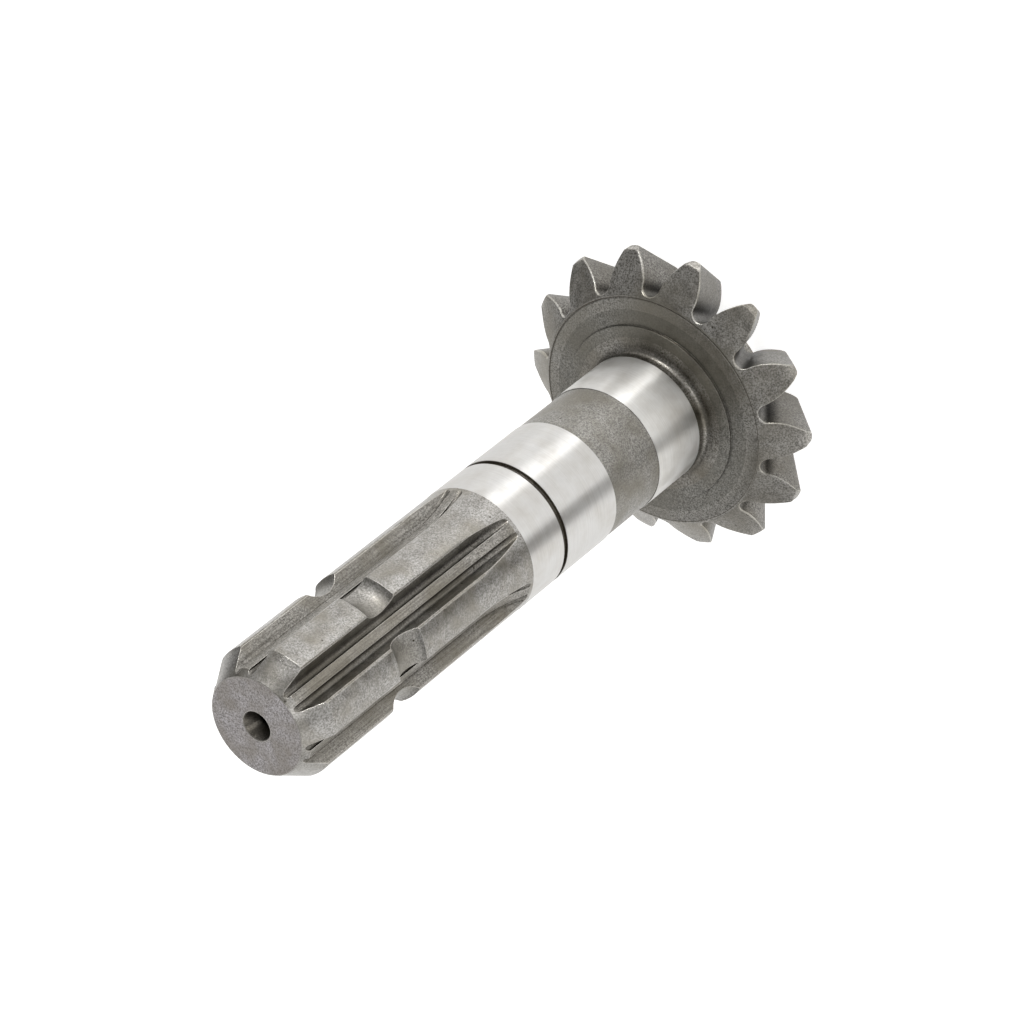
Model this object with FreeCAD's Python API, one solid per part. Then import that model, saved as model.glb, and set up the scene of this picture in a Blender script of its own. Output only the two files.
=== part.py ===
import FreeCAD, Part
import math
import os

# Bevel pinion shaft: splined drive end, ground seats and straight bevel pinion, all one
# piece of steel. It stands on its front face at z = 0 and z is its axis. Millimetres
# and degrees.

# splined end
spline_length = 84.9          # from the end face to the first ground seat
spline_count = 6
spline_diameter = 34.8
spline_tooth_width = 8.6
spline_edge_break = 0.3
end_face_diameter = 26.0
end_chamfer_length = 7.2

# floor of each spline space: a raised land between two rounded grooves
land_diameter = 28.4
land_width = 2.5
groove_diameter = 26.6
groove_round = 0.45           # height of the groove's rounded floor
cutter_radius = 40.0          # run-out of the grooves towards the seat
cutter_overrun = 0.6          # how far the grooves run out past the seat's edge

# detent groove round the spline, for the balls of a quick-release yoke
detent_centre = 37.3          # from the end face
detent_diameter = 29.7
detent_radius = 6.8

# ground seats and the stretches between them, from the spline to the pinion
seat_diameter = 35.0
seal_seat_length = 13.8
seal_seat_lead = 0.8          # length of the slight bevel that leads a seal onto its seat
ring_groove_width = 1.6
ring_groove_diameter = 33.0
outer_seat_length = 20.8
band_length = 19.2            # unground
band_diameter = 34.6
inner_seat_length = 18.0
neck_length = 3.1
neck_diameter = 34.4
neck_fillet = 1.6

# face the inner bearing bears on, and the flat back of the pinion
abutment_diameter = 49.0
abutment_height = 0.75
back_diameter = 64.0

# straight bevel pinion, for a mate at right angles to it
pinion_teeth = 14
mate_teeth = 19
gear_module = 5.25            # at the large end
pressure_angle = 20.0
tooth_thickness = 10.0        # along the pitch circle at the large end
addendum = 7.7                # at the large end
face_width = 19.8
heel_bevel = 1.7              # bevel on the tips at the large end
toe_round = 1.0               # rounding of the tips at the small end
tip_round = 1.0               # rounding along both edges of each tip
mounting_distance = 55.2      # from the pitch apex to the abutment face
flank_points = 6              # points that carry each involute

# front face, and the centre hole in either end
nose_diameter = 40.0
nose_chamfer = 1.0
nose_standout = 0.4           # how far the front face stands past the teeth
centre_mouth_diameter = 8.0
centre_pilot_diameter = 3.6
centre_depth = 9.0
centre_angle = 60.0
drill_point_angle = 118.0

# room round the cutting shapes, so that they come clear of the steel
clearance = 2.0
tip_clearance = 0.2
tip_run_out_angle = 30.0      # slope at which a tip's rounding meets the tip

# radii
spline_radius = spline_diameter / 2
land_radius = land_diameter / 2
groove_radius = groove_diameter / 2
seat_radius = seat_diameter / 2
band_radius = band_diameter / 2
ring_groove_radius = ring_groove_diameter / 2
neck_radius = neck_diameter / 2
nose_radius = nose_diameter / 2

# pitch cone, and the spur gear that its large end unrolls to
pitch_angle = math.atan(pinion_teeth / mate_teeth)
pitch_radius = gear_module * pinion_teeth / 2
heel_distance = pitch_radius / math.sin(pitch_angle)
toe_distance = heel_distance - face_width
unrolled_radius = pitch_radius / math.cos(pitch_angle)
unrolled_tip = unrolled_radius + addendum
unrolled_half_pitch = math.pi * math.cos(pitch_angle) / pinion_teeth
base_radius = unrolled_radius * math.cos(math.radians(pressure_angle))
toe_addendum = addendum * toe_distance / heel_distance
arc_middle = 1 - math.sqrt(0.5)

# heights, upwards from the front face
tooth_front = ((toe_distance + toe_round) * math.cos(pitch_angle)
               - (toe_addendum - toe_round) * math.sin(pitch_angle) - toe_round)
z_apex = nose_standout - tooth_front
z_abutment = z_apex + mounting_distance
z_neck = z_abutment + neck_length
z_inner_seat = z_neck + inner_seat_length
z_band = z_inner_seat + band_length
z_outer_seat = z_band + outer_seat_length
z_ring_groove = z_outer_seat + ring_groove_width
z_seal_seat = z_ring_groove + seal_seat_length
z_end = z_seal_seat + spline_length


def point(x, z, y=0.0):
    return FreeCAD.Vector(x, y, z)


def edge(points):
    # two points make a line, three an arc, more a smooth curve
    if len(points) == 2:
        return Part.LineSegment(*points).toShape()
    if len(points) == 3:
        return Part.Arc(*points).toShape()
    curve = Part.BSplineCurve()
    curve.interpolate(points)
    return curve.toShape()


def turned(outline):
    # a pair in the outline is an arc: a point on the way, and its end
    edges = []
    here = outline[0]
    for move in outline[1:] + outline[:1]:
        points = move if isinstance(move, tuple) else (move,)
        edges.append(edge([here, *points]))
        here = points[-1]
    return Part.Face(Part.Wire(edges)).revolve(point(0, 0), point(0, 1), 360)


def cone_point(along, above):
    # along the pitch cone from its apex, then out at right angles to the cone
    radius = along * math.sin(pitch_angle) + above * math.cos(pitch_angle)
    z = z_apex + along * math.cos(pitch_angle) - above * math.sin(pitch_angle)
    return point(radius, z)


def cone_point_at_radius(along, radius):
    above = (radius - along * math.sin(pitch_angle)) / math.cos(pitch_angle)
    return cone_point(along, above)


def spline_outline():
    depth = spline_radius - detent_diameter / 2
    half_width = math.sqrt(detent_radius ** 2 - (detent_radius - depth) ** 2)
    z_detent = z_end - detent_centre
    detent_bottom = point(detent_diameter / 2, z_detent)
    return [
        point(end_face_diameter / 2, z_end),
        point(spline_radius, z_end - end_chamfer_length),
        point(spline_radius, z_detent + half_width),
        (detent_bottom, point(spline_radius, z_detent - half_width)),
        point(spline_radius, z_seal_seat),
    ]


def seat_outline():
    fillet_in = neck_fillet * arc_middle
    fillet_middle = point(neck_radius + fillet_in, z_abutment + fillet_in)
    return [
        point(seat_radius, z_seal_seat - seal_seat_lead),
        point(seat_radius, z_ring_groove),
        point(ring_groove_radius, z_ring_groove),
        point(ring_groove_radius, z_outer_seat),
        point(seat_radius, z_outer_seat),
        point(seat_radius, z_band),
        point(band_radius, z_band),
        point(band_radius, z_inner_seat),
        point(seat_radius, z_inner_seat),
        point(seat_radius, z_neck),
        point(neck_radius, z_neck),
        point(neck_radius, z_abutment + neck_fillet),
        (fillet_middle, point(neck_radius + neck_fillet, z_abutment)),
    ]


def pinion_outline():
    # the tips run towards the pitch apex; both ends are square to the pitch cone
    heel_in = heel_distance - heel_bevel
    toe_in = toe_distance + toe_round
    round_in = toe_round * arc_middle
    toe_middle = cone_point(toe_distance + round_in, toe_addendum - round_in)
    return [
        point(abutment_diameter / 2, z_abutment),
        point(abutment_diameter / 2, z_abutment - abutment_height),
        cone_point_at_radius(heel_distance, back_diameter / 2),
        cone_point(heel_distance, addendum - heel_bevel),
        cone_point(heel_in, addendum * heel_in / heel_distance),
        cone_point(toe_in, addendum * toe_in / heel_distance),
        (toe_middle, cone_point(toe_distance, toe_addendum - toe_round)),
        cone_point_at_radius(toe_distance, nose_radius),
        point(nose_radius, nose_chamfer),
        point(nose_radius - nose_chamfer, 0),
        point(0, 0),
    ]


def turned_blank():
    return turned([point(0, z_end)] + spline_outline() + seat_outline() + pinion_outline())


def centre_hole(z_face, inward):
    mouth = centre_mouth_diameter / 2
    pilot = centre_pilot_diameter / 2
    slope = math.tan(math.radians(centre_angle / 2))
    drill_point = pilot / math.tan(math.radians(drill_point_angle / 2))
    return turned([
        point(0, z_face - inward * clearance),
        point(mouth + clearance * slope, z_face - inward * clearance),
        point(pilot, z_face + inward * (mouth - pilot) / slope),
        point(pilot, z_face + inward * centre_depth),
        point(0, z_face + inward * (centre_depth + drill_point)),
    ])


def beside_tooth(along, across, half_pitch):
    # from the middle line of a tooth to the middle line of the space next to it
    out = along * math.cos(half_pitch) + across * math.sin(half_pitch)
    return out, along * math.sin(half_pitch) - across * math.cos(half_pitch)


def space_wire(half, bottom, place):
    # one side of the space from the outside in, the bottom, then the same side mirrored
    def mirrored(spot):
        return spot[0], -spot[1]

    start = half[0][0]
    foot = half[-1][-1]
    runs = half + [[foot, (bottom, 0), mirrored(foot)]]
    runs += [[mirrored(spot) for spot in reversed(run)] for run in reversed(half)]
    runs.append([mirrored(start), start])
    return Part.Wire([edge([place(*spot) for spot in run]) for run in runs])


def half_spline_space():
    # down the tooth's straight side, through the groove and up to the land
    half_pitch = math.pi / spline_count
    half_tooth = spline_tooth_width / 2
    inset = half_tooth - 2 * spline_edge_break
    corner = math.sqrt(spline_radius ** 2 - half_tooth ** 2)
    groove_top = groove_radius + groove_round
    foot_along = (groove_top - half_tooth * math.sin(half_pitch)) / math.cos(half_pitch)
    over = beside_tooth(corner + clearance, inset, half_pitch)
    break_end = beside_tooth(corner + spline_edge_break, inset, half_pitch)
    break_start = beside_tooth(corner - spline_edge_break, half_tooth, half_pitch)
    foot = beside_tooth(foot_along, half_tooth, half_pitch)
    wall = land_width / 2
    groove = (groove_radius, (foot[1] + wall) / 2)
    wall_foot = (groove_top, wall)
    wall_top = (math.sqrt(land_radius ** 2 - wall ** 2), wall)
    return [
        [over, break_end],
        [break_end, break_start],
        [break_start, foot],
        [foot, groove, wall_foot],
        [wall_foot, wall_top],
    ]


def land_run_out(z_cutter):
    # the land rises more gently than the grooves and ends right at the seat's edge
    depth = seat_radius - land_radius
    radius = ((z_cutter - z_seal_seat) ** 2 + depth ** 2) / (2 * depth)
    side = point(land_radius + radius, z_cutter, -land_width / 2)
    return Part.makeCylinder(radius, land_width, side, FreeCAD.Vector(0, 1, 0))


def spline_space():
    # straight from the end to where the cutter stopped, then out along the cutter's round
    depth = seat_radius - groove_radius
    z_cutter = z_seal_seat - cutter_overrun + math.sqrt(depth * (2 * cutter_radius - depth))
    wire = space_wire(half_spline_space(), land_radius, lambda x, y: point(x, z_cutter, y))
    section = Part.Face(wire)
    straight = section.extrude(point(0, z_end + clearance - z_cutter))
    centre = point(groove_radius + cutter_radius, z_cutter)
    sweep = math.acos(1 - (depth + clearance) / cutter_radius)
    curved = section.revolve(centre, FreeCAD.Vector(0, -1, 0), math.degrees(sweep))
    return straight.fuse([curved, land_run_out(z_cutter)])


def involute(roll):
    return math.tan(roll) - roll


def half_tooth_angle(radius):
    at_pitch = tooth_thickness / (2 * unrolled_radius)
    at_base = at_pitch + involute(math.radians(pressure_angle))
    return at_base - involute(math.acos(min(1, base_radius / radius)))


def half_pinion_space():
    # over the tip, along its rounding, then down the involute to the base circle
    centre_radius = unrolled_tip - tip_round
    centre_angle = half_tooth_angle(centre_radius) - tip_round / base_radius
    along = centre_radius * math.cos(centre_angle)
    across = centre_radius * math.sin(centre_angle)

    def on_round(lean):
        spot = along + tip_round * math.cos(lean), across + tip_round * math.sin(lean)
        return beside_tooth(*spot, unrolled_half_pitch)

    def on_flank(radius):
        angle = half_tooth_angle(radius)
        spot = radius * math.cos(angle), radius * math.sin(angle)
        return beside_tooth(*spot, unrolled_half_pitch)

    first = math.radians(tip_run_out_angle)
    last = math.asin(base_radius / centre_radius) + centre_angle
    rise = tip_round * (1 - math.cos(first)) + tip_clearance
    over = across + tip_round * math.sin(first) - rise / math.tan(first)
    outside = beside_tooth(unrolled_tip + clearance, over, unrolled_half_pitch)
    above = beside_tooth(unrolled_tip + tip_clearance, over, unrolled_half_pitch)
    base_line = math.sqrt(centre_radius ** 2 - base_radius ** 2)
    flank_end = math.hypot(base_radius, base_line + tip_round)
    step = (flank_end - base_radius) / (flank_points - 1)
    flank = [on_flank(flank_end - step * i) for i in range(flank_points)]
    return [
        [outside, above],
        [above, on_round(first)],
        [on_round(first), on_round((first + last) / 2), flank[0]],
        flank,
    ]


def pinion_space():
    # the same section at both ends of the teeth, shrunk towards the pitch apex
    half = half_pinion_space()
    foot_angle = unrolled_half_pitch - half_tooth_angle(base_radius)
    bottom = base_radius * (1 / math.cos(foot_angle) - math.tan(foot_angle))

    def section(distance):
        scale = distance / heel_distance

        def place(out, sideways):
            x = out * math.cos(pitch_angle)
            z = heel_distance / math.cos(pitch_angle) - out * math.sin(pitch_angle)
            return point(x * scale, z_apex + z * scale, sideways * scale)

        return space_wire(half, bottom, place)

    ends = [section(heel_distance + clearance), section(toe_distance - clearance)]
    return Part.makeLoft(ends, True, True)


def around(shape, count, first_angle):
    copies = []
    for i in range(count):
        copy = shape.copy()
        copy.rotate(point(0, 0), point(0, 1), first_angle + 360 * i / count)
        copies.append(copy)
    return copies


def pinion_shaft():
    # a pinion tooth stands in line with the first spline space
    first_space = 180 / pinion_teeth
    blank = turned_blank()
    blank.rotate(point(0, 0), point(0, 1), first_space)    # its seam falls in the spaces
    cuts = around(spline_space(), spline_count, 0)
    cuts += around(pinion_space(), pinion_teeth, first_space)
    cuts += [centre_hole(z_end, -1), centre_hole(0, 1)]
    return blank.cut(cuts)


os.makedirs("parts", exist_ok=True)
shaft = pinion_shaft()
print("pinion_shaft", len(shaft.Solids), "solid, valid", shaft.isValid(),
      "volume", round(shaft.Volume), "length", round(shaft.BoundBox.ZLength, 2))
shaft.Solids[0].exportStep("parts/pinion_shaft.step")
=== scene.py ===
import math

import bmesh
import bpy
from mathutils import Matrix, Vector


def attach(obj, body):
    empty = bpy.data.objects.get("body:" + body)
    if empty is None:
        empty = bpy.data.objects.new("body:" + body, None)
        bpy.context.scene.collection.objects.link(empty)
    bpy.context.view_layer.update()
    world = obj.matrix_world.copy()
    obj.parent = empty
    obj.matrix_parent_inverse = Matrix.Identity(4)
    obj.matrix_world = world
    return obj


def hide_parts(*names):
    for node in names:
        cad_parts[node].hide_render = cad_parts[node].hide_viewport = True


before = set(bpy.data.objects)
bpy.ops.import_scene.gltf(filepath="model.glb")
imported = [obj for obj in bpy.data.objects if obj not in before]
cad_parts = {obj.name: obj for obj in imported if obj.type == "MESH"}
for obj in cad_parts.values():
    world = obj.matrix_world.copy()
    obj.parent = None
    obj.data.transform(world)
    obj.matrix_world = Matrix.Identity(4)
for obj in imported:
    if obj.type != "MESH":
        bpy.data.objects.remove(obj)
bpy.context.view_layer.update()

scene = bpy.context.scene
millimetre = 0.001


def fromHex(code):
    # sRGB hex, as a colour picker gives it, to the linear colour that Blender works in
    values = [int(code[i:i + 2], 16) / 255 for i in (0, 2, 4)]
    linear = [v / 12.92 if v <= 0.04045 else ((v + 0.055) / 1.055) ** 2.4 for v in values]
    return tuple(linear) + (1.0,)


def addNode(tree, kind, inputs=None, output=0, stops=None, **settings):
    # adds a node and gives back its output. Inputs are set by value, or linked where they are
    # outputs themselves; stops are a colour ramp's positions and sRGB hex colours.
    node = tree.nodes.new(kind)
    for name, value in settings.items():
        setattr(node, name, value)
    for name, value in (inputs or {}).items():
        if isinstance(value, bpy.types.NodeSocket):
            tree.links.new(value, node.inputs[name])
        else:
            node.inputs[name].default_value = value
    if stops:
        elements = node.color_ramp.elements
        while len(elements) < len(stops):
            elements.new(0.5)
        for element, (position, code) in zip(elements, stops):
            element.position, element.color = position, fromHex(code)
    return node.outputs[output] if len(node.outputs) else None


def startMaterial(name):
    material = bpy.data.materials.new(name)
    material.use_nodes = True
    material.node_tree.nodes.clear()
    return material, material.node_tree


def inMillimetres(tree, stretch=(1.0, 1.0, 1.0)):
    # the part's own coordinates, so that every pattern below is sized in millimetres
    place = addNode(tree, "ShaderNodeTexCoord", output="Object")
    scale = tuple(s / millimetre for s in stretch)
    return addNode(tree, "ShaderNodeVectorMath", {0: place, 1: scale}, operation="MULTIPLY")


steel = {
    # what all the finishes left by the shot-blasting share; lengths are in millimetres
    "dark": "6f6d68", "light": "bcb9b4", "wornAndHighlit": "ece8e0", "paintedShade": "5c574e",
    "grain": 0.44,               # distance between grit dimples
    "grainRange": (0.37, 0.63),  # where the noise reaches the dark and the light colour
    "dimple": 0.03,              # depth of the dimples
    "patch": 2.8, "cloud": 11.0, "seed": 3.4,
    "calm": 0.65,                # how far the speckle fades where the blast was weak
    "calmRange": (0.38, 0.64),   # where the cloud makes it start to fade, and fade most
    "nick": 6.0,                 # rough distance between small dark nicks
    "edge": 0.3,                 # radius that the blasting leaves on edges
    "wearAndHighlight": 1.0,                 # how far outside edges are rubbed pale and painted with a highlight
    "shadeReach": 4.0,              # how far from an inside corner the painted shade reaches
    "roughness": 0.42, "roughSpread": 0.08,
    "lines": 0.0,                # how far the cutter's lines along the shaft still show
    "lineApart": 0.35, "lineDepth": 0.05,
    "lineSquash": 0.02,          # a line is fifty times as long as it is wide
}

tints = {
    # what each pattern multiplies the colour by, at its low and its high values
    "nick": [(0.03, "8a867e"), (0.06, "ffffff")],
    "patch": [(0.32, "eae9e7"), (0.62, "ffffff")],
    "cloud": [(0.40, "ffffff"), (0.66, "e6e3db")],
    "line": [(0.34, "8e8b86"), (0.55, "ffffff")],
    "stain": [(0.30, "edebe8"), (0.60, "ffffff")],
}


def blastedSteel(name, changes):
    # alloy steel, case-hardened and shot-blasted: grey satin, speckled with fine dimples, cloudy
    # where the scale held on, with painted shade in the corners, and paler along the edges, partly
    # rubbed and partly a painted highlight
    look = dict(steel, **changes)
    material, tree = startMaterial(name)
    place = inMillimetres(tree)
    grain = addNode(tree, "ShaderNodeTexNoise", {
        "Vector": place, "Scale": 1 / look["grain"], "Detail": 2.0, "Roughness": 0.7})
    patch = addNode(tree, "ShaderNodeTexNoise", {
        "Vector": place, "Scale": 1 / look["patch"], "Detail": 4.0, "Roughness": 0.6})
    cloud = addNode(tree, "ShaderNodeTexNoise", {
        "Vector": place, "Scale": 1 / look["cloud"], "W": look["seed"], "Detail": 2.0,
        "Roughness": 0.5}, noise_dimensions="4D")
    nick = addNode(tree, "ShaderNodeTexVoronoi", {
        "Vector": place, "Scale": 1 / look["nick"]}, "Distance")
    nearby = addNode(tree, "ShaderNodeAmbientOcclusion", {
        "Distance": look["shadeReach"] * millimetre}, "AO", samples=8, only_local=True)

    speckle = addNode(tree, "ShaderNodeValToRGB", {"Fac": grain},
                      stops=list(zip(look["grainRange"], (look["dark"], look["light"]))))
    ends = zip(fromHex(look["dark"]), fromHex(look["light"]))
    calm = addNode(tree, "ShaderNodeMapRange", {
        "Value": cloud, "From Min": look["calmRange"][0], "From Max": look["calmRange"][1],
        "To Max": look["calm"]})
    colour = addNode(tree, "ShaderNodeMix", {
        0: calm, 6: speckle, 7: tuple((a + b) / 2 for a, b in ends)}, 2, data_type="RGBA")

    layers = [addNode(tree, "ShaderNodeValToRGB", {"Fac": pattern}, stops=tints[key])
              for key, pattern in (("nick", nick), ("patch", patch), ("cloud", cloud))]
    if look["lines"]:
        along = inMillimetres(tree, (1.0, 1.0, look["lineSquash"]))
        streak = addNode(tree, "ShaderNodeTexNoise", {
            "Vector": along, "Scale": 1 / look["lineApart"], "Detail": 3.0, "Roughness": 0.6})
        line = addNode(tree, "ShaderNodeValToRGB", {"Fac": streak}, stops=tints["line"])
        layers.append(addNode(tree, "ShaderNodeMix", {
            0: look["lines"], 6: (1.0, 1.0, 1.0, 1.0), 7: line}, 2, data_type="RGBA"))
    # painted shade: darker towards inside corners and down in hollows, by ambient occlusion
    layers.append(addNode(tree, "ShaderNodeValToRGB", {"Fac": nearby},
                          stops=[(0.3, look["paintedShade"]), (0.85, "ffffff")]))
    for layer in layers:
        colour = addNode(tree, "ShaderNodeMix", {0: 1.0, 6: colour, 7: layer}, 2,
                         data_type="RGBA", blend_type="MULTIPLY")

    # an edge is where the rounded normal turns away from the flat one, and an outside edge is
    # where nothing stands nearby
    rounded = addNode(tree, "ShaderNodeBevel", {"Radius": look["edge"] * millimetre}, samples=6)
    flat = addNode(tree, "ShaderNodeNewGeometry", output="Normal")
    turned = addNode(tree, "ShaderNodeVectorMath", {0: rounded, 1: flat}, "Value",
                     operation="DOT_PRODUCT")
    outside = addNode(tree, "ShaderNodeMapRange", {
        "Value": nearby, "From Min": 0.8, "From Max": 0.95})
    # outside edges painted pale: partly rubbed steel, partly a painted highlight
    wornAndHighlit = addNode(tree, "ShaderNodeMapRange", {
        "Value": turned, "From Min": 0.98, "From Max": 0.86, "To Max": look["wearAndHighlight"]})
    wornAndHighlit = addNode(tree, "ShaderNodeMath", {0: wornAndHighlit, 1: outside}, operation="MULTIPLY")
    colour = addNode(tree, "ShaderNodeMix", {0: wornAndHighlit, 6: colour, 7: fromHex(look["wornAndHighlit"])}, 2,
                     data_type="RGBA")

    rough = addNode(tree, "ShaderNodeMapRange", {
        "Value": patch, "From Min": 0.3, "From Max": 0.7,
        "To Min": look["roughness"] - look["roughSpread"],
        "To Max": look["roughness"] + look["roughSpread"]})
    relief = addNode(tree, "ShaderNodeBump", {
        "Strength": 1.0, "Distance": look["dimple"] * millimetre, "Height": grain,
        "Normal": rounded})
    if look["lines"]:
        relief = addNode(tree, "ShaderNodeBump", {
            "Strength": look["lines"], "Distance": look["lineDepth"] * millimetre,
            "Height": streak, "Normal": relief})
    shader = addNode(tree, "ShaderNodeBsdfPrincipled", {
        "Base Color": colour, "Metallic": 1.0, "Roughness": rough, "Normal": relief})
    addNode(tree, "ShaderNodeOutputMaterial", {"Surface": shader})
    return material


ground = {
    "dark": "c4c3c1", "light": "cfcecc",
    "line": 0.3,          # grinding lines are some 0.02 mm apart; drawn at 0.3 mm so that they show
    "lineDepth": 0.0002,
    "cloud": 7.0,
    "roughness": 0.35, "roughSpread": 0.04,
    "anisotropic": 0.86,  # the lines run round the shaft and pull each reflection out along it
}


def groundSteel(name, changes):
    # the same steel, cylindrically ground: bright, with soft streaks of light along the shaft
    look = dict(ground, **changes)
    material, tree = startMaterial(name)
    place = inMillimetres(tree)
    x, y, z = [addNode(tree, "ShaderNodeSeparateXYZ", {0: place}, axis) for axis in "XYZ"]
    turn = addNode(tree, "ShaderNodeMath", {0: y, 1: x}, operation="ARCTAN2")
    height = addNode(tree, "ShaderNodeMath", {0: z, 1: look["line"]}, operation="DIVIDE")
    unrolled = addNode(tree, "ShaderNodeCombineXYZ", {0: turn, 1: height})
    line = addNode(tree, "ShaderNodeTexNoise", {
        "Vector": unrolled, "Scale": 1.0, "Detail": 2.0, "Roughness": 0.6})
    cloud = addNode(tree, "ShaderNodeTexNoise", {
        "Vector": place, "Scale": 1 / look["cloud"], "Detail": 3.0, "Roughness": 0.6})
    colour = addNode(tree, "ShaderNodeValToRGB", {"Fac": line},
                     stops=[(0.3, look["dark"]), (0.7, look["light"])])
    stain = addNode(tree, "ShaderNodeValToRGB", {"Fac": cloud}, stops=tints["stain"])
    colour = addNode(tree, "ShaderNodeMix", {0: 1.0, 6: colour, 7: stain}, 2,
                     data_type="RGBA", blend_type="MULTIPLY")
    rough = addNode(tree, "ShaderNodeMapRange", {
        "Value": cloud, "From Min": 0.3, "From Max": 0.7,
        "To Min": look["roughness"] - look["roughSpread"],
        "To Max": look["roughness"] + look["roughSpread"]})
    relief = addNode(tree, "ShaderNodeBump", {
        "Strength": 1.0, "Distance": look["lineDepth"] * millimetre, "Height": line})
    tangent = addNode(tree, "ShaderNodeTangent", direction_type="RADIAL", axis="Z")
    shader = addNode(tree, "ShaderNodeBsdfPrincipled", {
        "Base Color": colour, "Metallic": 1.0, "Roughness": rough, "Normal": relief,
        "Tangent": tangent, "Anisotropic": look["anisotropic"], "Anisotropic Rotation": 0.25})
    addNode(tree, "ShaderNodeOutputMaterial", {"Surface": shader})
    return material


finishes = {
    # as forged and blasted: mid grey, speckled, with pale edges
    "forged": (blastedSteel, "caseHardenedSteelForgedBlasted", {}),
    # turned before the blasting: calmer, in broad clouds
    "back": (blastedSteel, "caseHardenedSteelTurnedBack", {
        "light": "bcb9b3", "wearAndHighlight": 0.15, "cloud": 24.0, "calm": 0.8}),
    # the same, with painted shade that darkens it towards the neck
    "abutment": (blastedSteel, "caseHardenedSteelTurnedAbutmentPaintedShade", {
        "dark": "686661", "light": "a5a39d", "paintedShade": "3a362f", "wearAndHighlight": 0.15, "shadeReach": 9.0,
        "cloud": 24.0, "calm": 0.8}),
    # the floor of a tool mark: painted dark, a painted shade along the line
    "mark": (blastedSteel, "caseHardenedSteelToolMarkPaintedShade", {
        "dark": "55524d", "light": "7f7b75", "wearAndHighlight": 0.0}),
    # the large end's broken edge: smooth, and painted pale as a highlight, so that it outlines the
    # teeth
    "edge": (blastedSteel, "caseHardenedSteelEdgePaintedHighlight", {
        "dark": "8a8883", "light": "c3c1bb", "dimple": 0.01, "edge": 0.15, "roughness": 0.33,
        "wearAndHighlight": 0.5}),
    # planed, then blasted: deep greys, with painted shade that darkens them towards the roots
    "flank": (blastedSteel, "caseHardenedSteelPlanedBlasted", {
        "dark": "484641", "light": "9b9893", "paintedShade": "37322b", "dimple": 0.022,
        "shadeReach": 6.0}),
    # hobbed, then blasted: fine lines still run along the shaft
    "spline": (blastedSteel, "caseHardenedSteelHobbedBlasted", {
        "dark": "6e6c67", "light": "aba8a3", "lines": 0.45, "paintedShade": "4e4942"}),
    # the hob's tips cut deeper beside the lands: the same steel, painted darker as shade
    "undercutShaded": (blastedSteel, "caseHardenedSteelHobbedUndercutPaintedShade", {
        "dark": "5e5c57", "light": "97948f", "lines": 0.45, "paintedShade": "39352f"}),
    # turned across the teeth: even, with edges less pale
    "detent": (blastedSteel, "caseHardenedSteelTurnedDetent", {
        "dark": "6f6d69", "light": "a9a7a3", "roughness": 0.44, "wearAndHighlight": 0.5}),
    # turned to size: the spline's outside, shinier and with edges less pale
    "crown": (blastedSteel, "caseHardenedSteelTurnedBlasted", {
        "dark": "7b7975", "light": "b0aeab", "cloud": 7.0, "roughness": 0.33, "wearAndHighlight": 0.5}),
    # faced: the palest of the blasted faces, with a cool cast and a pale rim, partly rubbed and
    # partly a painted highlight
    "endFace": (blastedSteel, "caseHardenedSteelFacedBlasted", {
        "dark": "86827f", "light": "cfcbcd", "edge": 0.8, "dimple": 0.02, "patch": 2.0,
        "cloud": 6.0, "calm": 0.5}),
    # turned and left unground: dull between two bright seats
    "band": (blastedSteel, "caseHardenedSteelTurnedBand", {
        "dark": "706e6a", "light": "a4a29d", "cloud": 8.0, "dimple": 0.02,
        "roughness": 0.45}),
    "ground": (groundSteel, "caseHardenedSteelGround", {}),
    # the seat beside the pinion, painted brighter: painted light in place of what the pinion keeps
    # off it
    "journalPaintedLight": (groundSteel, "caseHardenedSteelGroundPaintedLight", {
        "dark": "d5d4d1", "light": "dfdedb"}),
    # turned with a round-nosed tool: a soft shine on dark steel
    "neck": (blastedSteel, "caseHardenedSteelTurnedNeck", {
        "dark": "67645e", "light": "aaa7a1", "roughness": 0.36}),
    # cut with a parting tool: plain, dark from its depth alone
    "groove": (blastedSteel, "caseHardenedSteelTurnedGroove", {
        "dark": "6f6a62", "light": "8f8a82", "paintedShade": "8f8a82", "wearAndHighlight": 0.3,
        "shadeReach": 0.6}),
    # drilled: painted dark as shade inside the hole, with a rounded mouth
    "centre": (blastedSteel, "caseHardenedSteelDrilledCentrePaintedShade", {
        "dark": "4d4a47", "light": "8a8783", "edge": 0.9, "roughness": 0.36}),
}
materials = {key: make(name, changes) for key, (make, name, changes) in finishes.items()}
materialOrder = list(materials)
print("materials made: %d" % len(materials))


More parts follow.
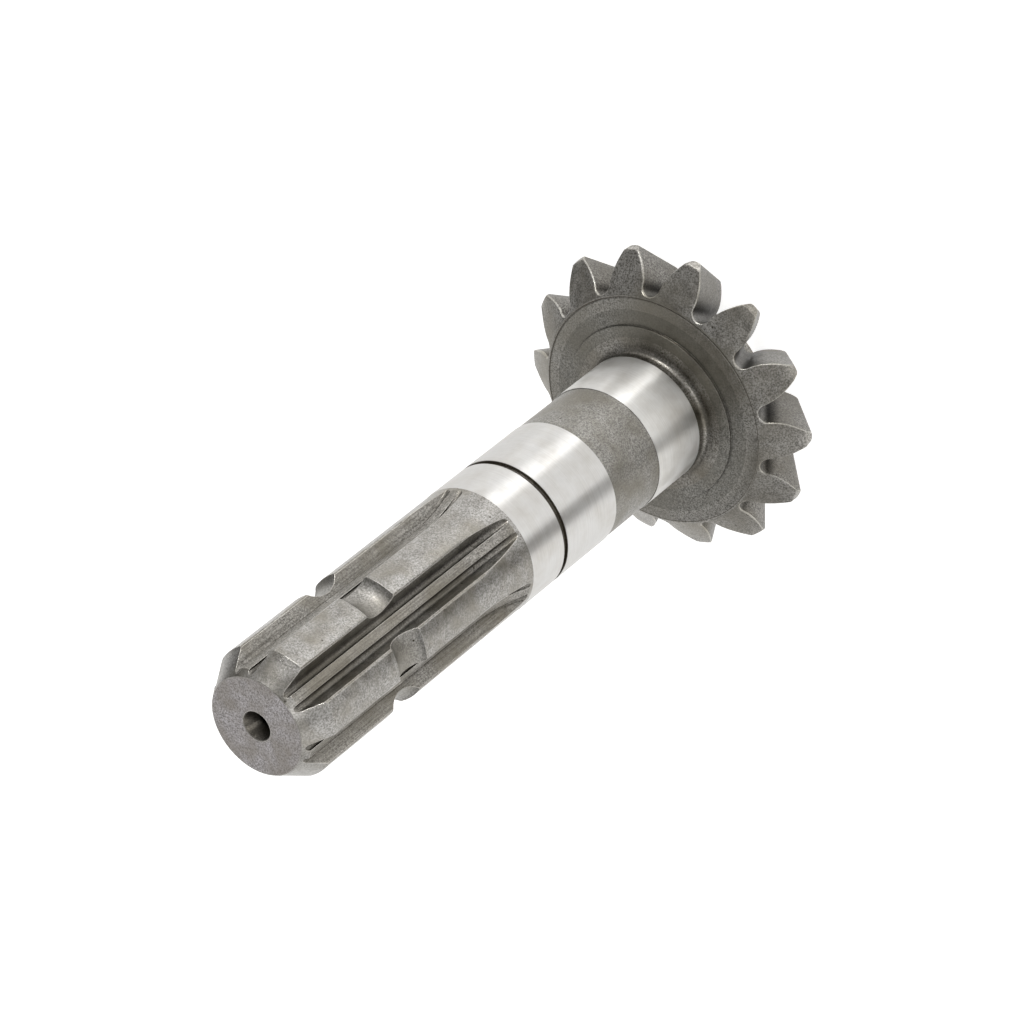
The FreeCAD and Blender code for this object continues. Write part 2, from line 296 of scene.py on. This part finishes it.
shaft = {                     # millimetres and degrees, as in the solid that this piece stands for
    "splineFoot": 100.075,    # the splined end keeps the solid's own surface above this height
    "splineTop": 185.775, "crownRadius": 17.3,
    "endBevelFoot": 178.0, "endRadius": 12.9,
    "holeRadius": 4.01, "holeFoot": 170.0,
    "detent": 148.475, "detentHalf": 6.5, "detentRadius": 14.7,
    "spaces": 6, "landHalf": 1.2, "toothHalf": 4.33,
    "cutterStop": 118.118, "cutterCentre": 53.3,    # below this height the grooves run out
    "frontFace": [(0.0, 10.08), (1.8, 9.0), (1.8, 3.81), (3.92, 0.13), (4.12, 0.0), (11.0, 0.0),
                  (18.92, 0.0), (19.06, 0.05), (19.95, 0.94), (20.0, 1.08)],
    # a fine tool mark just inside the rim of the pinion's back, deepest at this angle, with
    # a narrow land outside it, a slope up from it and one more row on the plain back
    "markInset": 0.18, "markWidth": 0.32, "markDepth": 0.07, "markDeepest": 5.0,
    "rimLand": 0.05, "markSlope": 0.15, "backRow": 3.5,
    "abutment": [(24.8, 23.597), (24.52, 23.64), (24.48, 23.7), (24.48, 24.27), (24.4, 24.36),
                 (24.28, 24.375), (21.4, 24.375)],
    "filletCentre": (18.8, 25.975), "filletRadius": 1.6,
    "neck": [(17.2, 27.2), (17.24, 27.36), (17.42, 27.475), (17.5, 27.57)],
    # up the shaft, each finish with the outline that it covers
    "stretches": [
        ("journalPaintedLight", [(17.5, 31.0), (17.5, 36.5), (17.5, 42.0), (17.5, 45.4), (17.42, 45.475)]),
        ("band", [(17.3, 45.5), (17.3, 50.0), (17.3, 55.0), (17.3, 60.0), (17.3, 64.65),
                  (17.42, 64.675)]),
        ("ground", [(17.5, 64.75), (17.5, 70.0), (17.5, 75.0), (17.5, 80.0), (17.5, 85.4),
                    (17.43, 85.475)]),
        ("groove", [(16.6, 85.475), (16.5, 85.56), (16.5, 86.99), (16.6, 87.075),
                    (17.43, 87.075)]),
        ("ground", [(17.5, 87.15), (17.5, 91.0), (17.5, 95.5), (17.5, 99.6)]),
    ],
    "sharp": 27.0,            # faces that meet at more than this angle keep a crisp edge
}

pinion = {                    # millimetres and degrees, as in the solid
    "teeth": 14, "mateTeeth": 19, "module": 5.25, "pressureAngle": 20.0, "toothThickness": 10.0,
    "addendum": 7.7, "faceWidth": 19.8, "heelBevel": 1.7, "toeRound": 1.0, "tipRound": 1.0,
    "bevelEase": 0.1, "apex": -30.8253, "rimRadius": 32.0, "noseRadius": 20.0,
    # edge breaks, which the solid leaves sharp: filed by hand, so their width wanders
    "heelBreak": 0.38, "heelBreakAlong": 0.5, "toeBreak": 0.3,
    "breakWander": 0.3, "breakWidest": 5.0,
    # how many rows of faces each finish covers, from the nose over the tooth to the rim
    "toeRows": 5, "flankRows": 9, "edgeRows": 4, "heelRows": 6,
}


def pinionSizes():
    p = dict(pinion)
    p["cone"] = math.atan(p["teeth"] / p["mateTeeth"])
    p["pitchRadius"] = p["module"] * p["teeth"] / 2
    p["heel"] = p["pitchRadius"] / math.sin(p["cone"])
    p["toe"] = p["heel"] - p["faceWidth"]
    # of the spur gear that the large end unrolls to
    p["flatRadius"] = p["pitchRadius"] / math.cos(p["cone"])
    p["baseRadius"] = p["flatRadius"] * math.cos(math.radians(p["pressureAngle"]))
    p["halfPitch"] = math.pi * math.cos(p["cone"]) / p["teeth"]
    return p


def toothOutline(p, crownSteps=3, tipSteps=4, flankSteps=8, rootSteps=8):
    # half a tooth, from the middle of its tip to the middle of the space beside it. Every line
    # of the tooth runs to the pitch apex, so a point is a turn round the axis and a slope above
    # the pitch cone.
    def involute(roll):
        return math.tan(roll) - roll

    def halfAngle(radius):
        atPitch = p["toothThickness"] / (2 * p["flatRadius"])
        atBase = atPitch + involute(math.radians(p["pressureAngle"]))
        return atBase - involute(math.acos(min(1.0, p["baseRadius"] / radius)))

    def ray(out, side):
        x = out * math.cos(p["cone"])
        z = p["heel"] / math.cos(p["cone"]) - out * math.sin(p["cone"])
        radius = math.hypot(x, side)
        along = radius * math.sin(p["cone"]) + z * math.cos(p["cone"])
        above = radius * math.cos(p["cone"]) - z * math.sin(p["cone"])
        return math.pi / p["teeth"] - math.atan2(side, x), above / along

    def beside(along, across):
        turn = p["halfPitch"]
        return (along * math.cos(turn) + across * math.sin(turn),
                along * math.sin(turn) - across * math.cos(turn))

    # the tip's corner, from just past the flat crown to where it meets the flank
    tip, base = p["flatRadius"] + p["addendum"], p["baseRadius"]
    centre = tip - p["tipRound"]
    lean = halfAngle(centre) - p["tipRound"] / base
    first, last = 0.12, math.asin(base / centre) + lean
    bends = [first + (last - first) * i / tipSteps for i in range(tipSteps + 1)]
    rounding = [beside(centre * math.cos(lean) + p["tipRound"] * math.cos(bend),
                       centre * math.sin(lean) + p["tipRound"] * math.sin(bend))
                for bend in bends]
    far = math.hypot(base, math.sqrt(centre ** 2 - base ** 2) + p["tipRound"])
    radii = [far + (base - far) * i / flankSteps for i in range(1, flankSteps + 1)]
    flank = [beside(r * math.cos(halfAngle(r)), r * math.sin(halfAngle(r))) for r in radii]
    # the root is one arc, from the flank's foot to the middle of the space
    foot = flank[-1]
    slant = p["halfPitch"] - halfAngle(base)
    bottom = base * (1 / math.cos(slant) - math.tan(slant))
    rootRadius = (foot[1] ** 2 + (foot[0] - bottom) ** 2) / (2 * (foot[0] - bottom))
    sweep = math.atan2(foot[1], bottom + rootRadius - foot[0])
    root = [(bottom + rootRadius - rootRadius * math.cos(sweep * (1 - i / rootSteps)),
             rootRadius * math.sin(sweep * (1 - i / rootSteps)))
            for i in range(1, rootSteps + 1)]
    side = [ray(*spot) for spot in rounding + flank + root]
    crown = [(side[0][0] * i / crownSteps, p["addendum"] / p["heel"]) for i in range(crownSteps)]
    return crown + side


def allColumns(p):
    half = toothOutline(p)
    tooth = [(-turn, slope) for turn, slope in half[:0:-1]] + half[:-1]
    columns = []
    for i in range(p["teeth"]):
        columns += [(2 * math.pi * i / p["teeth"] + turn, slope) for turn, slope in tooth]
    return columns


def intoSteel(columns, i, p):
    # unit direction from the surface into the steel, across the tooth and towards the axis
    before, after = columns[i - 1], columns[(i + 1) % len(columns)]
    turn = (after[0] - before[0] + math.pi) % (2 * math.pi) - math.pi
    across, rise = turn * p["pitchRadius"], (after[1] - before[1]) * p["heel"]
    size = math.hypot(across, rise)
    return rise / size, -across / size


def heelEnd(slope, p):
    # where the large end cuts this line of the tooth, with the corner of its bevel eased
    rise = p["heelBevel"] * (1 - p["addendum"] / p["heel"])
    over = (slope * p["heel"] - p["addendum"] + p["heelBevel"]) / (rise + slope * p["heelBevel"])
    bevel = p["heel"] - over * p["heelBevel"]
    return (p["heel"] + bevel - math.hypot(p["heel"] - bevel, p["bevelEase"])) / 2


def toeEnd(slope, p):
    # where the small end cuts it, with the tip's corner rounded to just short of a quarter
    # circle, so that its last row still has some width
    reach = (slope * p["toe"] - p["addendum"] * p["toe"] / p["heel"]) / p["toeRound"] + 1
    reach = min(max(reach, 0.0), 1.0)
    return p["toe"] + p["toeRound"] * (1 - math.sqrt(1 - reach * reach * 0.98))


def breakWander(turn, slope, p):
    # how wide the filed edge is here: uneven, broader on one side of the pinion, and finer
    # round the tips, which are bevelled already
    uneven = 1 + p["breakWander"] * (math.sin(16.1 * turn + 1.1) * math.sin(11 * turn + 0.4)
                                     + 0.5 * math.sin(53 * turn))
    broader = 0.82 + 0.18 * math.cos(turn - math.radians(p["breakWidest"]))
    return uneven * broader * min(1.0, 0.35 + (p["addendum"] - slope * p["heel"]) / 3.0)


def toothRows(columns, p):
    # for each column, its points from the nose over the small end, the flank and the large end
    # to the rim
    sine, cosine = math.sin(p["cone"]), math.cos(p["cone"])

    def spot(turn, slope, along):
        radius = along * (sine + slope * cosine)
        height = p["apex"] + along * (cosine - slope * sine)
        return radius * math.cos(turn), radius * math.sin(turn), height

    noseAbove = (p["noseRadius"] - p["toe"] * sine) / cosine
    rimAbove = (p["rimRadius"] - p["heel"] * sine) / cosine
    made = []
    for i, (turn, slope) in enumerate(columns):
        across, inwards = intoSteel(columns, i, p)
        wander = breakWander(turn, slope, p)
        # low in the tooth spaces the break stops well short of the rim
        heelBreak = min(p["heelBreak"] * wander, 0.45 * (slope * p["heel"] - rimAbove))
        breakAlong = p["heelBreakAlong"] * wander
        radius = p["heel"] * (sine + slope * cosine)

        def moved(distance, size):
            return (turn + across * distance / radius / size,
                    slope + inwards * distance / p["heel"] / size)

        rows = []
        scale = p["toe"] / p["heel"]
        edgeTurn, edgeSlope = moved(p["toeBreak"], scale)
        foot = noseAbove / p["toe"]
        for share in (0.0, 0.35, 0.7, 0.93):            # up the small end
            newSlope = foot + (edgeSlope - foot) * share
            rows.append(spot(turn + (edgeTurn - turn) * share, newSlope, toeEnd(newSlope, p)))
        for angle in (0, 30, 60, 90):                   # over its broken edge
            bend = math.radians(angle)
            newTurn, newSlope = moved(p["toeBreak"] * (1 - math.sin(bend)), scale)
            rows.append(spot(newTurn, newSlope,
                             toeEnd(newSlope, p) + p["toeBreak"] * (1 - math.cos(bend))))
        start, stop = toeEnd(slope, p) + p["toeBreak"], heelEnd(slope, p) - breakAlong
        rows += [spot(turn, slope, start + (stop - start) * share)
                 for share in (0.03, 0.25, 0.5, 0.75, 0.97)]
        for angle in (90, 68, 45, 22, 0):               # over the large end's broken edge
            bend = math.radians(angle)
            newTurn, newSlope = moved(heelBreak * (1 - math.sin(bend)), 1.0)
            rows.append(spot(newTurn, newSlope,
                             heelEnd(newSlope, p) - breakAlong * (1 - math.cos(bend))))
        # down the large end to just above the rim, with three rows at the bevel's corner
        top = newSlope * p["heel"]
        low = rimAbove + 0.3 * min(1.0, top - rimAbove)
        corner = p["addendum"] - p["heelBevel"]
        for share, limit in ((0.985, corner + 0.12), (0.96, corner), (0.93, corner - 0.12),
                             (0.7, math.inf), (0.35, math.inf), (0.0, math.inf)):
            above = min(low + (top - low) * share, limit)
            near = (above - low) / max(top - low, 0.001)
            rows.append(spot(turn + (newTurn - turn) * near, above / p["heel"],
                             heelEnd(above / p["heel"], p)))
        made.append(rows)
    return made, (p["rimRadius"], p["apex"] + p["heel"] * cosine - rimAbove * sine)


def turnedRows(rim, turn):
    # the rest of the outline, from the rim up the shaft, as (radius, height, finish of the
    # stretch before it)
    s = shaft
    slope = (s["abutment"][0][1] - rim[1]) / (rim[0] - s["abutment"][0][0])
    # the tool mark is cut less deep, and so less wide, away from its deepest place
    cut = min(1.0, max(0.45, 0.65 + 0.6 * math.cos(turn - math.radians(s["markDeepest"]))))
    depth, end = s["markDepth"] * cut, s["markInset"] + s["markWidth"] * cut
    rows = [(rim[0] - s["rimLand"], rim[1], "back"),
            (rim[0] - s["markInset"], rim[1] - depth, "back"),
            (rim[0] - end, rim[1] - depth, "mark")]
    rows += [(rim[0] - inset, rim[1] + inset * slope, "back")
             for inset in (end + s["markSlope"], s["backRow"])]
    rows += [(radius, height, "abutment") for radius, height in s["abutment"]]
    for angle in range(0, 91, 15):
        bend = math.radians(angle)
        rows.append((s["filletCentre"][0] - s["filletRadius"] * math.sin(bend),
                     s["filletCentre"][1] - s["filletRadius"] * math.cos(bend), "neck"))
    for finish, outline in [("neck", s["neck"])] + s["stretches"]:
        rows += [(radius, height, finish) for radius, height in outline]
    return rows


def makeRows():
    p = pinionSizes()
    columns = allColumns(p)
    teeth, rim = toothRows(columns, p)
    front = [(radius, height, "centre" if radius < shaft["holeRadius"] else "forged")
             for radius, height in shaft["frontFace"]]
    toothFinishes = (["forged"] * p["toeRows"] + ["flank"] * p["flankRows"]
                     + ["edge"] * p["edgeRows"] + ["forged"] * p["heelRows"])
    finishOfRow = ([row[2] for row in front[1:]] + toothFinishes
                   + [row[2] for row in turnedRows(rim, 0.0)])
    points = []
    for (turn, slope), middle in zip(columns, teeth):
        below, above = [[(r * math.cos(turn), r * math.sin(turn), z) for r, z, finish in rows]
                        for rows in (front, turnedRows(rim, turn))]
        points.append(below + middle + above)
    return points, finishOfRow


def zipRings(bm, lower, upper):
    # triangles between two rings of different counts, by their turn round the axis
    def turnOf(vertex):
        return math.atan2(vertex.co.y, vertex.co.x) % (2 * math.pi)

    lower, upper = sorted(lower, key=turnOf), sorted(upper, key=turnOf)
    i = j = 0
    made = []
    while i < len(lower) or j < len(upper):
        a, b = lower[i % len(lower)], upper[j % len(upper)]
        nextA, nextB = lower[(i + 1) % len(lower)], upper[(j + 1) % len(upper)]
        turnA = turnOf(nextA) + (2 * math.pi if i + 1 >= len(lower) else 0)
        turnB = turnOf(nextB) + (2 * math.pi if j + 1 >= len(upper) else 0)
        if j >= len(upper) or (i < len(lower) and turnA <= turnB):
            made.append(bm.faces.new((a, nextA, b)))
            i += 1
        else:
            made.append(bm.faces.new((a, nextB, b)))
            j += 1
    return made


def splineFinish(face):
    # which tool made this face of the splined end, judged by where it lies
    s = shaft
    spot = face.calc_center_median()
    radius = math.hypot(spot.x, spot.y)
    outwards = (face.normal.x * spot.x + face.normal.y * spot.y) / max(radius, 0.001)
    if spot.z > s["splineTop"] - 0.01:
        return "endFace"
    if spot.z > s["holeFoot"] and radius < s["holeRadius"]:
        return "centre"
    onEndBevel = spot.z > s["endBevelFoot"] and radius > s["endRadius"] and face.normal.z > 0.3
    if radius > s["crownRadius"] or onEndBevel:
        return "crown"
    # the detent's walls lean along the axis and its floor faces outwards; the teeth's do neither
    inDetent = abs(spot.z - s["detent"]) < s["detentHalf"] and radius > s["detentRadius"]
    if inDetent and (abs(face.normal.z) > 0.05 or outwards > 0.9):
        return "detent"
    # where the face lies in the cutter's own section: out along the spline space, and across it
    halfPitch = math.pi / s["spaces"]
    turn = abs((math.atan2(spot.y, spot.x) + halfPitch) % (2 * halfPitch) - halfPitch)
    along, across = radius * math.cos(turn), radius * math.sin(turn)
    if spot.z < s["cutterStop"]:
        reach = math.hypot(s["cutterCentre"] - along, s["cutterStop"] - spot.z)
        along = s["cutterCentre"] - reach
    fromTooth = along * math.sin(halfPitch) - across * math.cos(halfPitch)
    beside = across > s["landHalf"] and fromTooth > s["toothHalf"]
    return "undercutShaded" if beside else "spline"


weld = {"solid": 0.002, "joint": 0.004, "sliver": 0.0005, "level": 0.01}    # millimetres


def makeShaft():
    # the splined end with the solid's own surface, and from its foot down a new, finer one
    bm = bmesh.new()
    bm.from_mesh(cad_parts["pinion_shaft"].data)
    bmesh.ops.scale(bm, vec=[1 / millimetre] * 3, verts=bm.verts)
    bmesh.ops.remove_doubles(bm, verts=bm.verts, dist=weld["solid"])
    foot = shaft["splineFoot"]
    below = [f for f in bm.faces if max(v.co.z for v in f.verts) < foot + weld["level"]]
    bmesh.ops.delete(bm, geom=below, context="FACES")
    for face in bm.faces:
        face.material_index = materialOrder.index(splineFinish(face))
    upper = {v for e in bm.edges if e.is_boundary for v in e.verts
             if abs(v.co.z - foot) < weld["level"]}

    points, finishOfRow = makeRows()
    grid = [[bm.verts.new(point) for point in column] for column in points]
    for i, column in enumerate(grid):
        other = grid[(i + 1) % len(grid)]
        for k, finish in enumerate(finishOfRow):
            face = bm.faces.new((column[k], other[k], other[k + 1], column[k + 1]))
            face.material_index = materialOrder.index(finish)
    for face in zipRings(bm, [column[-1] for column in grid], list(upper)):
        face.material_index = materialOrder.index("ground")
    bmesh.ops.remove_doubles(bm, verts=bm.verts, dist=weld["joint"])
    bmesh.ops.dissolve_degenerate(bm, dist=weld["sliver"], edges=bm.edges)
    bmesh.ops.recalc_face_normals(bm, faces=bm.faces)
    bmesh.ops.scale(bm, vec=[millimetre] * 3, verts=bm.verts)

    mesh = bpy.data.meshes.new("steelPinionShaft")
    for key in materialOrder:
        mesh.materials.append(materials[key])
    bm.to_mesh(mesh)
    openEdges = sum(1 for e in bm.edges if not e.is_manifold)
    bm.free()
    # left over from the solid's file, and wrong for the new faces
    if "custom_normal" in mesh.attributes:
        mesh.attributes.remove(mesh.attributes["custom_normal"])
    mesh.shade_smooth()
    mesh.set_sharp_from_angle(angle=math.radians(shaft["sharp"]))
    piece = bpy.data.objects.new("steelPinionShaft", mesh)
    scene.collection.objects.link(piece)
    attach(piece, "root")
    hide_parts("pinion_shaft")
    print("shaft: %d faces, %d open edges" % (len(mesh.polygons), openEdges))


camera = {
    # where the photograph was taken from, solved from the shaft's circles and side lines:
    # metres, and millimetres for the lens and the sensor
    "place": (0.443371, -0.686972, 0.834357),
    "right": (-0.237952, -0.782230, -0.575756),
    "up": (0.886178, 0.067799, -0.458358),
    "lens": 159.94, "sensor": 36.0, "clipStart": 0.05, "clipEnd": 60.0,
}


def makeCamera():
    data = bpy.data.cameras.new("photoCamera")
    data.sensor_width, data.lens = camera["sensor"], camera["lens"]
    data.clip_start, data.clip_end = camera["clipStart"], camera["clipEnd"]
    holder = bpy.data.objects.new("photoCamera", data)
    scene.collection.objects.link(holder)
    right, up = Vector(camera["right"]).normalized(), Vector(camera["up"]).normalized()
    back = right.cross(up).normalized()
    turned = Matrix((right, back.cross(right), back)).transposed().to_4x4()
    holder.matrix_world = Matrix.Translation(camera["place"]) @ turned
    scene.camera = holder
    print("camera made")


studio = {                    # metres and degrees
    "target": (0.0, 0.0, 0.08),
    "lamps": [
        # name, azimuth, elevation, distance, width, height, radiance
        ("keyStrip", 346, 6, 1.3, 0.34, 0.32, 16.0),
        ("fillBox", 225, 20, 1.6, 1.20, 0.90, 1.0),
        ("frontBox", 282, 32, 1.6, 0.80, 0.60, 2.5),
        ("backBox", 123, 45, 1.6, 1.20, 1.20, 0.5),
    ],
    # the room: pale at the horizon and dimmer overhead, by the sine of the elevation
    "room": [(0.0, "e6e6e6"), (0.17, "d2d2d2"), (0.5, "aaaaaa"), (0.8, "9a9a9a")],
    "floor": "f2f1ef", "floorLift": 0.82, "floorHalf": 12.0,
    "floorDrop": 0.0002,      # keeps the paper just clear of the face that stands on it
    # cards that only reflections show, two on the paper and one dark one beyond its far end:
    # name, azimuth, half angle, foot and head (distance, height), brightness
    "cards": [
        ("whiteCard", 338, 5.0, (0.048, 0.001), (0.50, 0.001), 2.4),
        ("sideCard", 20, 5.0, (0.048, 0.001), (0.50, 0.001), 1.6),
        ("horizonCard", 64, 26.0, (0.90, 0.001), (0.90, 0.28), 0.12),
    ],
    # a grey card beside the shaft: ground steel shows it as one dark streak
    "darkCard": {"azimuth": 261, "distance": 0.075, "width": 0.028, "height": 0.13,
                 "colour": "dfdedc"},
}


def makeLamp(name, azimuth, elevation, distance, width, height, radiance):
    data = bpy.data.lights.new(name, "AREA")
    data.shape, data.size, data.size_y = "RECTANGLE", width, height
    data.energy = radiance * math.pi * width * height
    holder = bpy.data.objects.new(name, data)
    scene.collection.objects.link(holder)
    a, e = math.radians(azimuth), math.radians(elevation)
    towards = Vector((math.cos(a) * math.cos(e), math.sin(a) * math.cos(e), math.sin(e)))
    holder.location = Vector(studio["target"]) + towards * distance
    holder.rotation_euler = towards.to_track_quat("Z", "Y").to_euler()


def makePanel(name, corners, material):
    mesh = bpy.data.meshes.new(name)
    mesh.from_pydata(corners, [], [tuple(range(len(corners)))])
    mesh.materials.append(material)
    panel = bpy.data.objects.new(name, mesh)
    scene.collection.objects.link(panel)
    return panel


def hideCard(card):
    card.visible_camera = card.visible_diffuse = card.visible_shadow = False


def makeCard(name, azimuth, halfAngle, foot, head, brightness):
    material, tree = startMaterial(name + "Glow")
    glow = addNode(tree, "ShaderNodeEmission", {
        "Color": (1.0, 1.0, 1.0, 1.0), "Strength": brightness})
    addNode(tree, "ShaderNodeOutputMaterial", {"Surface": glow})
    corners = []
    for (reach, height), side in ((foot, -halfAngle), (head, -halfAngle),
                                  (head, halfAngle), (foot, halfAngle)):
        turn = math.radians(azimuth + side)
        corners.append((reach * math.cos(turn), reach * math.sin(turn), height))
    hideCard(makePanel(name, corners, material))


def makeDarkCard():
    # matt grey card: its fibres only change how dull it is
    card = studio["darkCard"]
    material, tree = startMaterial("cardGreyMatt")
    fibre = addNode(tree, "ShaderNodeTexNoise", {
        "Vector": inMillimetres(tree), "Scale": 0.5, "Detail": 2.0})
    rough = addNode(tree, "ShaderNodeMapRange", {
        "Value": fibre, "To Min": 0.75, "To Max": 0.9})
    shader = addNode(tree, "ShaderNodeBsdfPrincipled", {
        "Base Color": fromHex(card["colour"]), "Roughness": rough, "Specular IOR Level": 0.1})
    addNode(tree, "ShaderNodeOutputMaterial", {"Surface": shader})
    turn = math.radians(card["azimuth"])
    side = Vector((-math.sin(turn), math.cos(turn), 0.0)) * card["width"] / 2
    foot = Vector((math.cos(turn), math.sin(turn), 0.0)) * card["distance"]
    rise = Vector((0.0, 0.0, card["height"]))
    corners = [foot - side, foot + side, foot + side + rise, foot - side + rise]
    hideCard(makePanel("darkCard", corners, material))


def makeFloor():
    # seamless paper: even and dull. What the camera sees of it, straight or in the metal, is
    # lifted to white.
    material, tree = startMaterial("paperFloorMatt")
    fibre = addNode(tree, "ShaderNodeTexNoise", {
        "Vector": inMillimetres(tree), "Scale": 0.25, "Detail": 3.0})
    rough = addNode(tree, "ShaderNodeMapRange", {
        "Value": fibre, "To Min": 0.85, "To Max": 0.95})
    paper = addNode(tree, "ShaderNodeBsdfPrincipled", {
        "Base Color": fromHex(studio["floor"]), "Roughness": rough, "Specular IOR Level": 0.0})
    seen = addNode(tree, "ShaderNodeLightPath", output="Is Camera Ray")
    for kind in ("Is Glossy Ray", "Is Transmission Ray"):
        ray = addNode(tree, "ShaderNodeLightPath", output=kind)
        seen = addNode(tree, "ShaderNodeMath", {0: seen, 1: ray}, operation="MAXIMUM")
    lift = addNode(tree, "ShaderNodeMath", {0: seen, 1: studio["floorLift"]},
                   operation="MULTIPLY")
    glow = addNode(tree, "ShaderNodeEmission", {
        "Color": (1.0, 1.0, 1.0, 1.0), "Strength": lift})
    both = addNode(tree, "ShaderNodeAddShader", {0: paper, 1: glow})
    addNode(tree, "ShaderNodeOutputMaterial", {"Surface": both})
    half = studio["floorHalf"]
    corners = [(-half, -half, 0), (half, -half, 0), (half, half, 0), (-half, half, 0)]
    floor = makePanel("paperFloor", corners, material)
    floor.location.z = -studio["floorDrop"]


def makeStudio():
    for lamp in studio["lamps"]:
        makeLamp(*lamp)
    world = bpy.data.worlds.new("studioRoom")
    scene.world = world
    world.use_nodes = True
    tree = world.node_tree
    tree.nodes.clear()
    towards = addNode(tree, "ShaderNodeTexCoord", output="Generated")
    up = addNode(tree, "ShaderNodeSeparateXYZ", {0: towards}, "Z")
    air = addNode(tree, "ShaderNodeValToRGB", {"Fac": up}, stops=studio["room"])
    room = addNode(tree, "ShaderNodeBackground", {"Color": air, "Strength": 1.0})
    addNode(tree, "ShaderNodeOutputWorld", {"Surface": room})
    makeFloor()
    makeDarkCard()
    for card in studio["cards"]:
        makeCard(*card)
    print("studio made")


makeShaft()
makeCamera()
makeStudio()
scene.view_settings.view_transform = "Standard"
